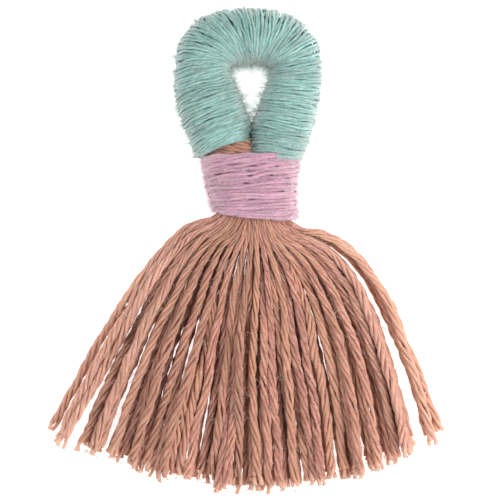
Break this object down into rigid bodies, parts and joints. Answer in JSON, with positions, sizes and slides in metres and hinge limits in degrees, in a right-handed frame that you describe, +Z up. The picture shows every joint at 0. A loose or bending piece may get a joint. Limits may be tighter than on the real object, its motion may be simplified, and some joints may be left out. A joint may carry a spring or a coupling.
{
  "type": "cotton yarn tassel",
  "caption": "Cotton yarn tassel lying flat: a fanned skirt of cut strands, a whipped neck and a yarn-wrapped hanging loop.",
  "frame": {"origin": "bottom centre of the tassel's box, on the surface that it lies on", "axes": "+Z up from the surface, +Y along the tassel from the skirt's tips to the loop, +X to the right seen from above with the loop away from the viewer"},
  "size_m": [0.0782, 0.0966, 0.011],
  "materials": {
    "teal_yarn": "soft matt cotton yarn wrapped in close turns",
    "pink_yarn": "soft matt cotton yarn whipped in close turns",
    "brown_yarn": "soft matt plied cotton yarn with a visible twist"
  },
  "bodies": {
    "root": {"loop_wrap": "teal_yarn", "neck_wrap": "pink_yarn", "skirt": "brown_yarn"}
  },
  "joints": []
}
